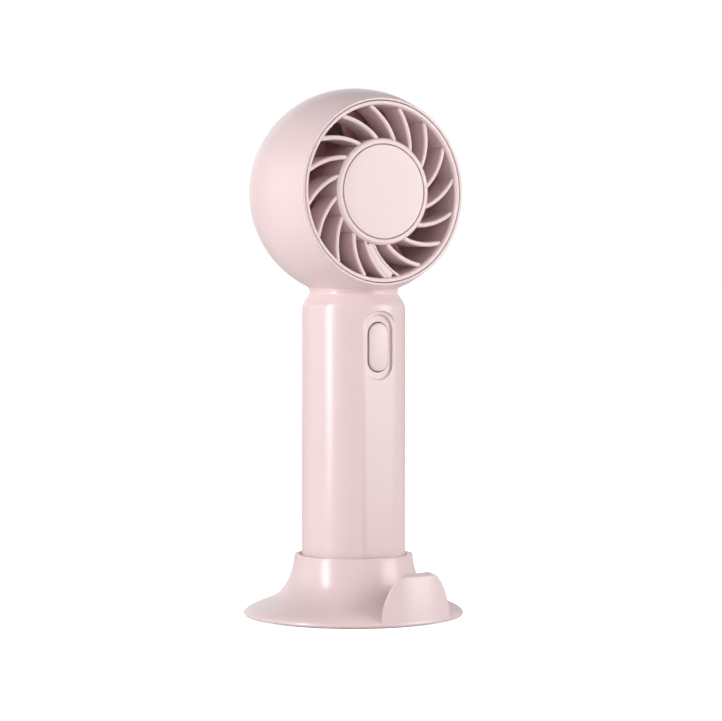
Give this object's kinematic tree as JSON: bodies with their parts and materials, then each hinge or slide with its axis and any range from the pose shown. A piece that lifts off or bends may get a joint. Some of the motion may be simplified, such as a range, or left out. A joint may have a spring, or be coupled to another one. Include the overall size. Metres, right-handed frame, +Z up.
{
  "type": "handheld electric fan",
  "caption": "Handheld fan with a ball-shaped head and swirl-vane grille on a round handle, standing in a flared desk stand with an upright phone tongue.",
  "frame": {"origin": "centre of the stand's foot, on the surface that it stands on", "axes": "+Z up along the handle, the fan blows towards -Y, +X to the right of a person facing the fan"},
  "size_m": [0.0836, 0.0836, 0.1999],
  "materials": {
    "body_plastic": "satin moulded plastic, pale pink",
    "stand_plastic": "satin moulded plastic, pale pink",
    "grille_plastic": "satin moulded plastic, pale pink",
    "hub_cap_plastic": "satin moulded plastic, pale pink",
    "button_plastic": "satin moulded plastic, pale pink",
    "impeller_plastic": "plain moulded plastic, pink",
    "foot_rubber": "matte, warm grey",
    "screws": "zinc plated",
    "bright_steel": "plated steel",
    "stator_steel": "varnished laminations",
    "copper_winding": "enamelled copper wire",
    "magnet": "bonded ferrite",
    "circuit_board": "solder mask",
    "black_plastic": "matte",
    "white_plastic": "matte",
    "cell_sleeve": "shrink sleeve",
    "lead_insulation": "soft insulation"
  },
  "bodies": {
    "stand": {"stand_shell": "stand_plastic", "stand_base_plate": "stand_plastic", "foot_ring": "foot_rubber", "base_screw_1": "screws", "base_screw_2": "screws", "base_screw_3": "screws"},
    "fan": {"handle_shell": "body_plastic", "handle_end_cap": "body_plastic", "end_cap_screw_1": "screws", "end_cap_screw_2": "screws", "tact_switch": "black_plastic", "main_board": "circuit_board", "battery_cell": "cell_sleeve", "battery_cradle": "white_plastic", "cell_tab_top": "bright_steel", "cell_tab_bottom": "bright_steel", "charging_socket": "bright_steel", "charging_board": "circuit_board", "board_screw_1": "screws", "board_screw_2": "screws", "motor_lead": "lead_insulation", "cell_lead": "lead_insulation", "charge_lead": "black_plastic", "head_shell": "body_plastic", "front_grille": "grille_plastic", "hub_cap": "hub_cap_plastic", "wire_duct_cover": "grille_plastic", "rear_grille": "grille_plastic", "grille_screw_1": "screws", "grille_screw_2": "screws", "grille_screw_3": "screws", "motor_board": "circuit_board", "stator_core": "stator_steel", "stator_coil_1": "copper_winding", "stator_coil_2": "copper_winding", "stator_coil_3": "copper_winding", "stator_coil_4": "copper_winding", "stator_coil_5": "copper_winding", "stator_coil_6": "copper_winding", "front_bearing": "bright_steel", "rear_bearing": "bright_steel"},
    "impeller": {"impeller": "impeller_plastic", "rotor_cup": "bright_steel", "magnet_ring": "magnet", "motor_shaft": "bright_steel", "shaft_clip": "bright_steel"},
    "power_button": {"power_button": "button_plastic", "switch_stem": "black_plastic"}
  },
  "joints": [
    {"name": "fan_lift", "type": "slide", "parent": "stand", "child": "fan", "axis": [0, 0, 1], "range_m": [0, 0.03]},
    {"name": "impeller_spin", "type": "hinge", "parent": "fan", "child": "impeller", "pos_m": [0, 0, 0.1605], "axis": [0, -1, 0], "continuous": true},
    {"name": "button_press", "type": "slide", "parent": "fan", "child": "power_button", "axis": [0, 1, 0], "range_m": [0, 0.0005], "stiffness_N_per_m": 400}
  ]
}
